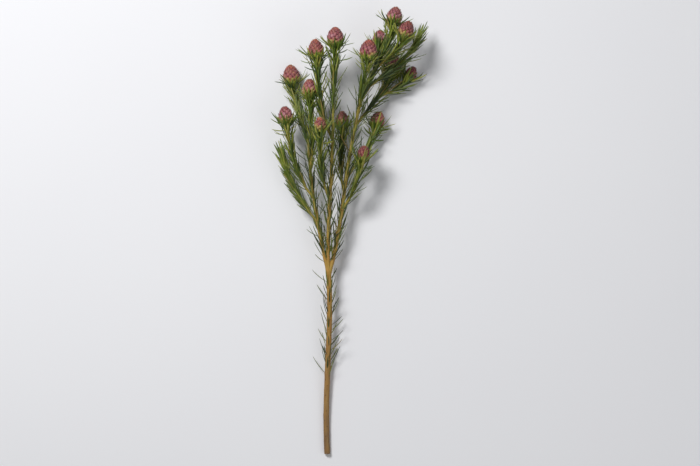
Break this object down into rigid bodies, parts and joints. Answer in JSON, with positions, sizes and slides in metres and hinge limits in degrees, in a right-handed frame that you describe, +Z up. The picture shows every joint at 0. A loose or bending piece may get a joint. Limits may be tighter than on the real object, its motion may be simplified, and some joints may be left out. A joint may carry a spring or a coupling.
{
  "type": "leucadendron stem",
  "caption": "Cut flowering stem laid flat: a woody stem forking into limbs, with leafy needle shoots and a scaly rose-red cone at the end of most of them.",
  "frame": {"origin": "middle of the foot of the whole stem's box, on the surface that it lies on", "axes": "+Y along the stem from its cut end to its tips, +Z up from the surface, +X to the right when the stem is seen from above with its tips up"},
  "size_m": [0.2006, 0.5878, 0.0976],
  "materials": {
    "wood": "dry bark, yellow-brown to red-brown with leaf scars, paler where young and at the cut",
    "needles": "living green leaf, satin, yellow-green near the cones, with slightly browned tips",
    "scales": "velvety cone scales, pale pink with dark rose edges, orange-red at the crown and yellow-green at the base"
  },
  "bodies": {
    "root": {"stem": "wood", "shoot_left_1": "needles", "cone_left_1": "scales", "shoot_left_2": "needles", "cone_left_2": "scales", "shoot_left_3": "needles", "cone_left_3": "scales", "shoot_left_4": "needles", "shoot_middle_1": "needles", "cone_middle_1": "scales", "shoot_middle_2": "needles", "cone_middle_2": "scales", "shoot_middle_3": "needles", "cone_middle_3": "scales", "shoot_right_1": "needles", "cone_right_1": "scales", "shoot_right_2": "needles", "cone_right_2": "scales", "shoot_right_3": "needles", "cone_right_3": "scales", "shoot_right_4": "needles", "cone_right_4": "scales", "shoot_right_5": "needles", "cone_right_5": "scales", "shoot_right_6": "needles", "cone_right_6": "scales", "shoot_right_7": "needles", "cone_right_7": "scales", "shoot_right_8": "needles", "cone_right_8": "scales", "shoot_right_9": "needles", "cone_right_9": "scales", "shoot_right_10": "needles"}
  },
  "joints": []
}
